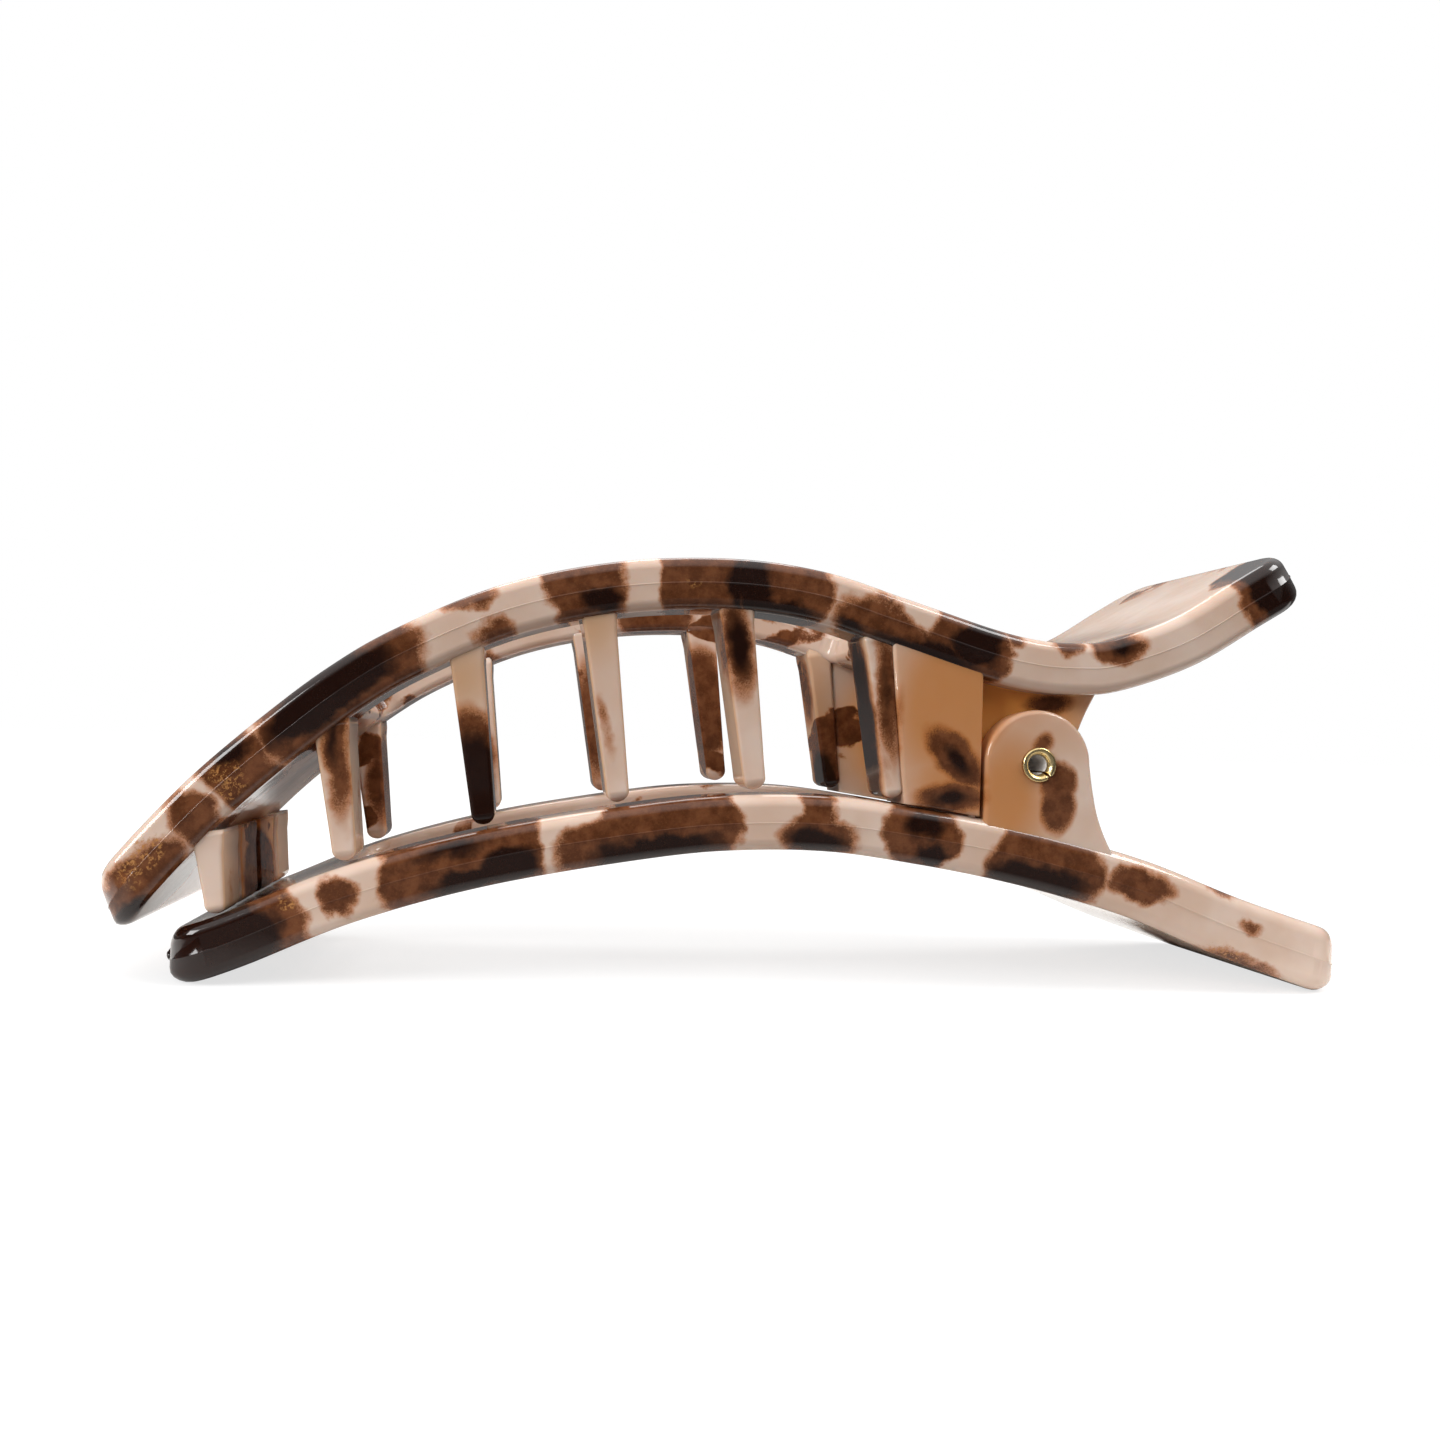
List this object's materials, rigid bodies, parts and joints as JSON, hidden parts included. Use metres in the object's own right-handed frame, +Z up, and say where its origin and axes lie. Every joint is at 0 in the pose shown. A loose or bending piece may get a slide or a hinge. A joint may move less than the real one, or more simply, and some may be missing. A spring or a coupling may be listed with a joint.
{
  "type": "hair claw clip",
  "caption": "Long flat hair claw clip: an arched toothed upper jaw with a raised thumb lever, hinged on a metal tube over a slim curved lower jaw and held shut by a torsion spring.",
  "frame": {"origin": "centre of the clip's bounding box, on the plane the lower jaw's two ends rest on", "axes": "+X from the jaw tips to the thumb ends, +Y across the clip along the hinge tube, +Z up from the lower jaw to the upper jaw"},
  "size_m": [0.1161, 0.028, 0.0421],
  "materials": {
    "jaw_plastic": "polished cellulose-acetate look, cream with brown tortoiseshell blotches",
    "tooth_plastic": "the same polished plastic where brown blotches dominate",
    "hinge_brass": "thin rolled brass, polished",
    "spring_steel": "bright drawn spring wire"
  },
  "bodies": {
    "lower_jaw": {"lower_tip_plate": "jaw_plastic", "lower_rail_near": "jaw_plastic", "lower_rail_far": "jaw_plastic", "lower_tail": "jaw_plastic", "lower_lug_near": "jaw_plastic", "lower_lug_far": "jaw_plastic", "hinge_tube": "hinge_brass", "torsion_spring": "spring_steel"},
    "upper_jaw": {"upper_tip_plate": "jaw_plastic", "upper_rail_near": "jaw_plastic", "upper_rail_far": "jaw_plastic", "thumb_lever": "jaw_plastic", "upper_lug_near": "jaw_plastic", "upper_lug_far": "jaw_plastic", "centre_tooth": "tooth_plastic", "near_tooth_1": "tooth_plastic", "near_tooth_2": "tooth_plastic", "near_tooth_3": "tooth_plastic", "near_tooth_4": "tooth_plastic", "near_tooth_5": "tooth_plastic", "near_tooth_6": "tooth_plastic", "far_tooth_1": "tooth_plastic", "far_tooth_2": "tooth_plastic", "far_tooth_3": "tooth_plastic", "far_tooth_4": "tooth_plastic", "far_tooth_5": "tooth_plastic", "far_tooth_6": "tooth_plastic", "comb_tooth_1": "tooth_plastic", "comb_tooth_2": "tooth_plastic"}
  },
  "joints": [
    {"name": "jaw_hinge", "type": "hinge", "parent": "lower_jaw", "child": "upper_jaw", "pos_m": [0.0266, 0, 0.0212], "axis": [0, 1, 0], "range_deg": [0, 46], "stiffness_Nm_per_rad": 0.08, "springref_deg": -40.11, "deforming": ["torsion_spring"]}
  ]
}
